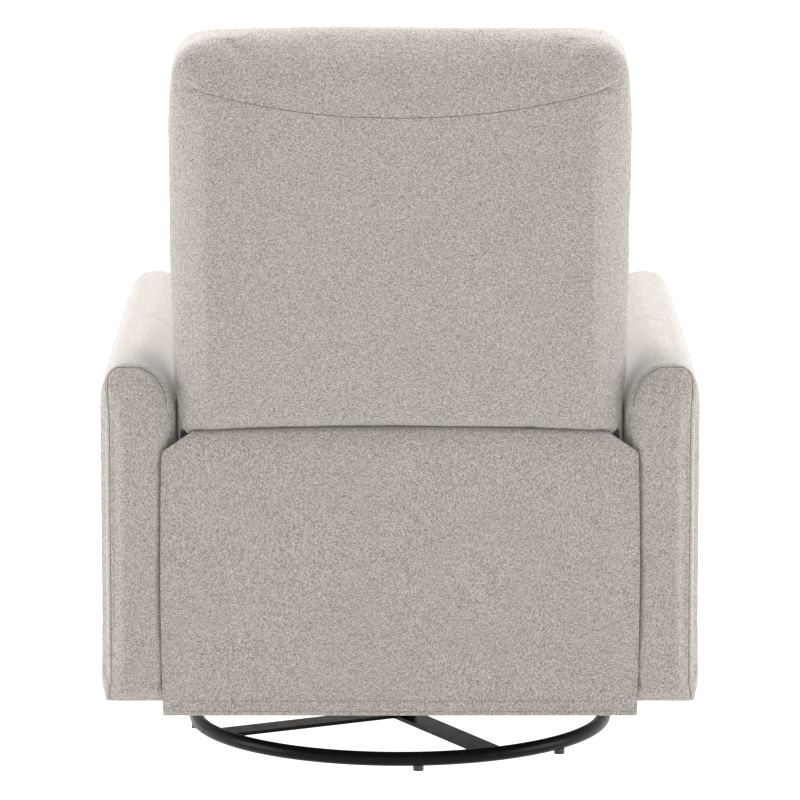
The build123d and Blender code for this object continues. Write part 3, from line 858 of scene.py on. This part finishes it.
seat_seams = [seat_loop(seat_high.z - 16.0 * MM, 3.0 * MM), seat_loop(seat_low.z + 13.0 * MM, 4.0 * MM)]
press_seams(seat, seat_seams, 4.0 * MM, 2.2 * MM)
soften(seat, 2.0 * MM, 0.5 * MM, 4)
seat_piping = seam_cord("seat_piping", seat_seams, 2.2 * MM, -0.4 * MM, seat, cover_cloth, closed=True)
fasten(seat, "seat", stands_for=["seat_cushion"])
fasten(seat_piping, "seat")

# %% [markdown]
# ## Rail ends
# The side rails end just behind the footrest, where they would show as raw plywood at the
# front. An upholsterer wraps each end in a scrap of the cover before the arm is bolted on.


# %% Rail end wraps
def make_rail_wrap(name):
    """A close cover over the front end of one side rail."""
    low, high = node_box(name)
    front = low + Vector((0.3, -3.5, -3.0)) * MM
    bm = block(front, (high.x - 0.3 * MM, low.y + 0.11, high.z + 0.6 * MM))
    rounded(bm, list(bm.edges), 3.0 * MM, 3)
    made = piece_from(bm, name.replace("seat_side_rail", "rail_wrap"), cover_cloth)
    soften(made, 0.4 * MM, 0.2 * MM, 6)
    return made


rail_wraps = [make_rail_wrap("seat_side_rail_left"), make_rail_wrap("seat_side_rail_right")]
for wrap in rail_wraps:
    fasten(wrap, "seat")
print("rail wraps", [wrap.name for wrap in rail_wraps])

# %% [markdown]
# ## Footrest pad
# The pad that folds out is a low cushion stapled to a board, with a boxed edge.


# %% Footrest cover
foot_low, foot_high = node_box("footrest_pad")


def make_footrest():
    bm = block(foot_low + Vector((2.0, 5.0, 2.0)) * MM, foot_high + Vector((-2.0, 0.0, 5.0)) * MM)
    along_y = [e for e in bm.edges if abs(e.verts[0].co.y - e.verts[1].co.y) > 0.02]
    rounded(bm, along_y, 16.0 * MM, 4)
    front = [e for e in bm.edges if all(v.co.y < foot_low.y + 0.006 for v in e.verts)]
    rounded(bm, front, 17.0 * MM, 4)
    made = piece_from(bm, "footrest_cover", cover_cloth)
    with_modifier(made, "REMESH", mode="VOXEL", voxel_size=5.0 * MM)
    cloth_swell(made, 3.0, 12.0 * MM, hold=lambda co: 1.0 if co.y > foot_high.y - 0.012 else 0.0)
    return made


footrest = make_footrest()


def foot_loop(y, inset):
    """The seam round the pad's face."""
    low = foot_low.z + inset
    high = foot_high.z - inset
    return rounded_loop(foot_high.x - inset, low, high, 0.02, 0.006, lambda x, z: (x, y, z))


foot_seams = [foot_loop(foot_low.y + 15.0 * MM, 3.0 * MM)]
press_seams(footrest, foot_seams, 4.0 * MM, 2.0 * MM)
soften(footrest, 1.6 * MM, 0.4 * MM, 5)
foot_piping = seam_cord(
    "footrest_piping", foot_seams, 2.0 * MM, -0.3 * MM, footrest, cover_cloth, closed=True
)
fasten(footrest, "ottoman", stands_for=["footrest_pad"])
fasten(foot_piping, "ottoman")

# %% [markdown]
# ## Rear flap
# Below the back hangs a flap of the same cloth, lined and two fingers wider on each side
# than the gap between the arms. Its top corners are cut at an angle and sewn to the back,
# and its hem is turned up and stitched in a long box over the fastening tape. On the chair it
# bends when the back reclines, following the seat low down and the back at its top; here it
# is one fixed sheet, fastened to neither.


# %% Flap sheet
flap_low, flap_high = node_box("rear_flap")
FLAP_Y = flap_low.y + 1.2 * MM
FLAP_T = 2.2 * MM
SEAM_HALF = 0.268
SEAM_END = 0.473
FLAP_CORNER = 0.4475
FLAP_HALF = 0.3075
FLAP_LEAN = 7.0 * MM
LEAN_FROM = 0.93
CREST_FROM = 0.9


def flap_half(z):
    """Half the flap's width at a height: nearly straight sides, then the cut corners."""
    share = (z - flap_low.z) / (FLAP_CORNER - flap_low.z)
    if share <= 1.0:
        return FLAP_HALF + 2.5 * MM * math.sin(math.pi * max(share, 0.0)) ** 0.8
    climb = (z - FLAP_CORNER) / (SEAM_END - FLAP_CORNER)
    return FLAP_HALF + (SEAM_HALF - FLAP_HALF) * min(climb, 1.0)


def flap_height(across):
    """The flap's top edge: level, a little higher in the middle."""
    return SEAM_END + 6.0 * MM * (1.0 - (across / SEAM_HALF) ** 2)


def make_flap():
    bm = bmesh.new()
    columns = 104
    rows = 62
    bmesh.ops.create_grid(bm, x_segments=columns, y_segments=rows, size=1.0)
    for vertex in bm.verts:
        across, up = vertex.co.x, (vertex.co.y + 1.0) / 2
        z = flap_low.z + up * (SEAM_END - flap_low.z)
        x = across * flap_half(z)
        if up > CREST_FROM:
            z += (up - CREST_FROM) / (1.0 - CREST_FROM) * (flap_height(min(abs(x), SEAM_HALF)) - SEAM_END)
        wave = noise.noise(Vector((x * 5.0, z * 4.0, 3.0)))
        drape = 1.6 * MM * wave * math.sin(math.pi * up)
        lean = -FLAP_LEAN * max(0.0, (up - LEAN_FROM) / (1.0 - LEAN_FROM)) ** 1.5
        vertex.co = (x, FLAP_Y + drape + lean, z)
    made = piece_from(bm, "rear_flap_cloth", cover_cloth)
    with_modifier(made, "SOLIDIFY", thickness=FLAP_T, offset=0.0)
    return made


flap = make_flap()
HEM_TOP = flap_low.z + 19.0 * MM
HEM_LOW = flap_low.z + 5.0 * MM
HEM_HALF = 0.2935
outer_y = FLAP_Y + FLAP_T / 2


def flap_line(points, step=3.0 * MM):
    return walk([(x, outer_y + 2.0 * MM, z) for x, z in points], step)


hem_lines = [
    flap_line([(-HEM_HALF, HEM_LOW), (HEM_HALF, HEM_LOW)]),
    flap_line([(-HEM_HALF, HEM_TOP), (HEM_HALF, HEM_TOP)]),
    flap_line([(-HEM_HALF, HEM_LOW), (-HEM_HALF, HEM_TOP)]),
    flap_line([(HEM_HALF, HEM_LOW), (HEM_HALF, HEM_TOP)]),
]
print("flap", [round(v, 4) for v in flap_low], [round(v, 4) for v in flap_high])


def on_flap(made):
    """Bake a piece of the flap's placement into its mesh."""
    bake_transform(made)


hem_stitches = stitches("hem_stitches", hem_lines[0], flap)
for index, line in enumerate(hem_lines[1:]):
    row = stitches(f"hem_row_{index}", line, flap)
    bm = bmesh.new()
    bm.from_mesh(hem_stitches.data)
    bm.from_mesh(row.data)
    bm.to_mesh(hem_stitches.data)
    bm.free()
    bpy.data.objects.remove(row)
seam_points = [(step * SEAM_HALF / 10, flap_height(step * SEAM_HALF / 10)) for step in range(-10, 11)]
top_line = curve_points([(x, outer_y - FLAP_LEAN, z) for x, z in seam_points], 3.0 * MM)
flap_fold = seam_cord("flap_top_seam", [top_line], 0.9 * MM, 0.0, flap, seam_shade_cloth)
area = sum(face.area for face in flap.data.polygons) / 2
print("flap area", round(area, 4))
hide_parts("rear_flap")
for made in (flap, hem_stitches, flap_fold):
    on_flap(made)

# %% [markdown]
# ## Floor, light and camera
# A studio picture of furniture: a white floor that glows, so that no shadow shows on it, a
# broad soft light overhead that pales the arm tops, a weak one that fills the rear, one
# on each side that brightens the edges of the back, and white all round.

# %% Floor
def make_floor():
    bm = bmesh.new()
    bmesh.ops.create_grid(bm, x_segments=1, y_segments=1, size=30.0)
    made = piece_from(bm, "studio_floor", bpy.data.materials.new("studio_white"))
    made.data.materials[0].use_nodes = True
    shader = made.data.materials[0].node_tree.nodes["Principled BSDF"]
    shader.inputs["Base Color"].default_value = (0.55, 0.55, 0.55, 1.0)
    shader.inputs["Roughness"].default_value = 0.9
    shader.inputs["Emission Color"].default_value = (1.0, 1.0, 1.0, 1.0)
    shader.inputs["Emission Strength"].default_value = 1.2
    return made


make_floor()


def soft_light(name, place, aim, size, power):
    data = bpy.data.lights.new(name, "AREA")
    data.shape = "SQUARE"
    data.size = size
    data.energy = power
    made = bpy.data.objects.new(name, data)
    made.location = place
    made.rotation_mode = "QUATERNION"
    made.rotation_quaternion = (Vector(aim) - Vector(place)).to_track_quat("-Z", "Y")
    bpy.context.collection.objects.link(made)
    return made


soft_light("overhead_softbox", (0.0, -0.4, 3.2), (0.0, 0.0, 0.4), 3.0, 190.0)
soft_light("rear_fill", (0.0, 6.0, 2.6), (0.0, 0.0, 0.5), 4.0, 10.0)
for side in (-1.0, 1.0):
    soft_light("side_softbox", (side * 4.5, 0.7, 1.3), (0.0, 0.2, 0.6), 2.5, 150.0)
world = bpy.data.worlds.new("studio_white_world")
world.use_nodes = True
world.node_tree.nodes["Background"].inputs["Color"].default_value = (1.0, 1.0, 1.0, 1.0)
world.node_tree.nodes["Background"].inputs["Strength"].default_value = 1.0
bpy.context.scene.world = world
bpy.context.scene.view_settings.view_transform = "Standard"

# %% Camera
CAMERA_BACK = 7.86
CAMERA_HIGH = 1.79
TILT = math.radians(9.685)
camera_data = bpy.data.cameras.new("studio_camera")
camera_data.sensor_width = 36.0
camera_data.lens = 265.0
camera = bpy.data.objects.new("studio_camera", camera_data)
camera.location = (0.0, CAMERA_BACK, CAMERA_HIGH)
camera.rotation_mode = "XYZ"
camera.rotation_euler = (math.pi / 2 - TILT, 0.0, math.pi)
bpy.context.collection.objects.link(camera)
bpy.context.scene.camera = camera
